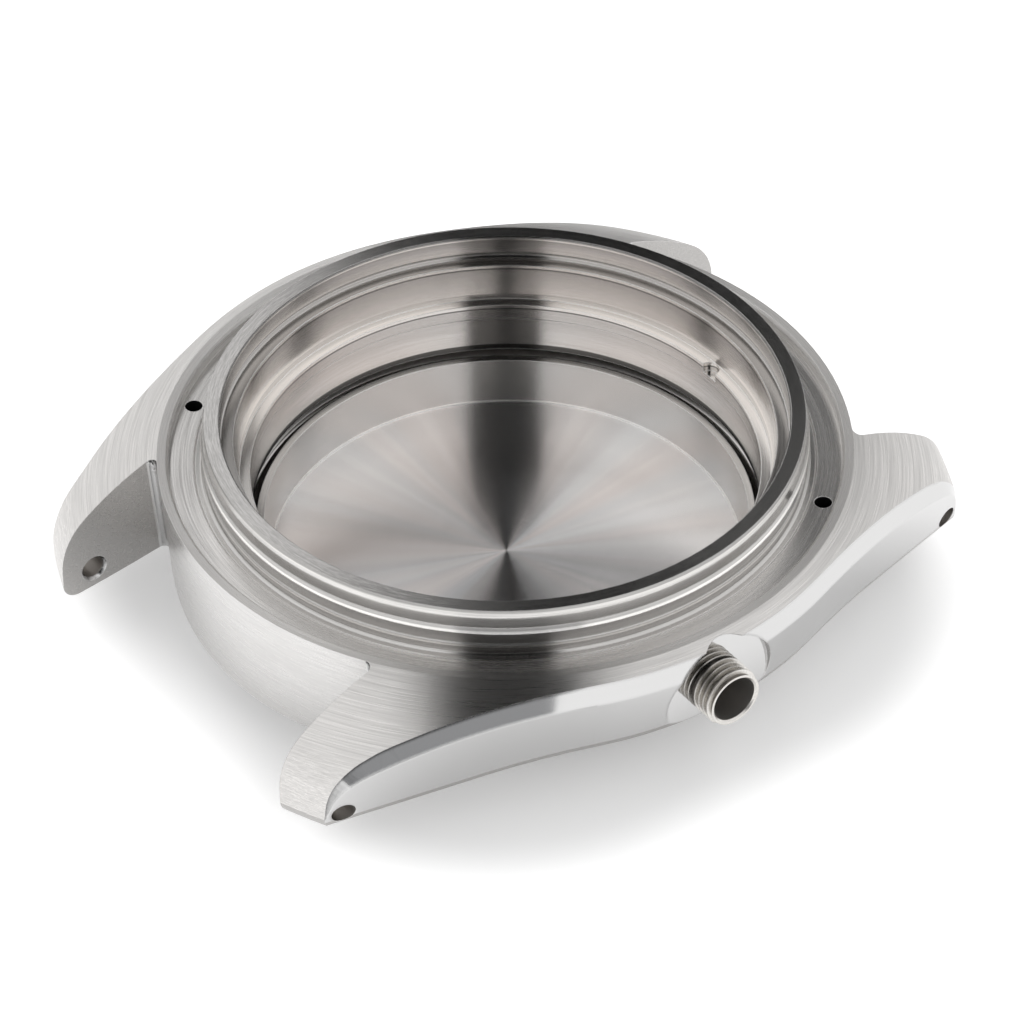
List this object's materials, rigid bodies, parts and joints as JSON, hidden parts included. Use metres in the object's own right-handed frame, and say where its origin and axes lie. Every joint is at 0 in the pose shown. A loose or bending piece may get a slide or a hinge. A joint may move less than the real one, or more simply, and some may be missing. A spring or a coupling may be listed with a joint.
{
  "type": "watch case",
  "caption": "Empty steel watch case: drilled lugs, seats bored for crystal, dial and movement, a threaded crown tube, and a screwed back with a gasket that turns off.",
  "frame": {"origin": "on the case's axis, at the flat foot of the case back", "axes": "+Z from the back to the crystal side, +X to 3 o'clock where the crown tube is, +Y to 12 o'clock"},
  "size_m": [0.0424, 0.046, 0.0116],
  "materials": {
    "case_steel": "circular satin brushing on top, polished bevels and flanks",
    "tube_steel": "turned thread, slightly dark",
    "back_steel": "circular turned inside, satin outside",
    "gasket_rubber": "matte"
  },
  "bodies": {
    "case_body": {"mid_case": "case_steel", "crown_tube": "tube_steel"},
    "gasket_body": {"case_back_gasket": "gasket_rubber"},
    "back_body": {"case_back": "back_steel"}
  },
  "joints": [
    {"name": "back_travel", "type": "slide", "parent": "case_body", "child": "gasket_body", "axis": [0, 0, -1], "range_m": [0, 0.002]},
    {"name": "back_turn", "type": "hinge", "parent": "gasket_body", "child": "back_body", "pos_m": [0, 0, 0], "axis": [0, 0, -1], "range_deg": [0, 1440]}
  ],
  "couplings": [
    {"joint": "back_travel", "follows": "back_turn", "m_per_rad": 0.000079577}
  ]
}
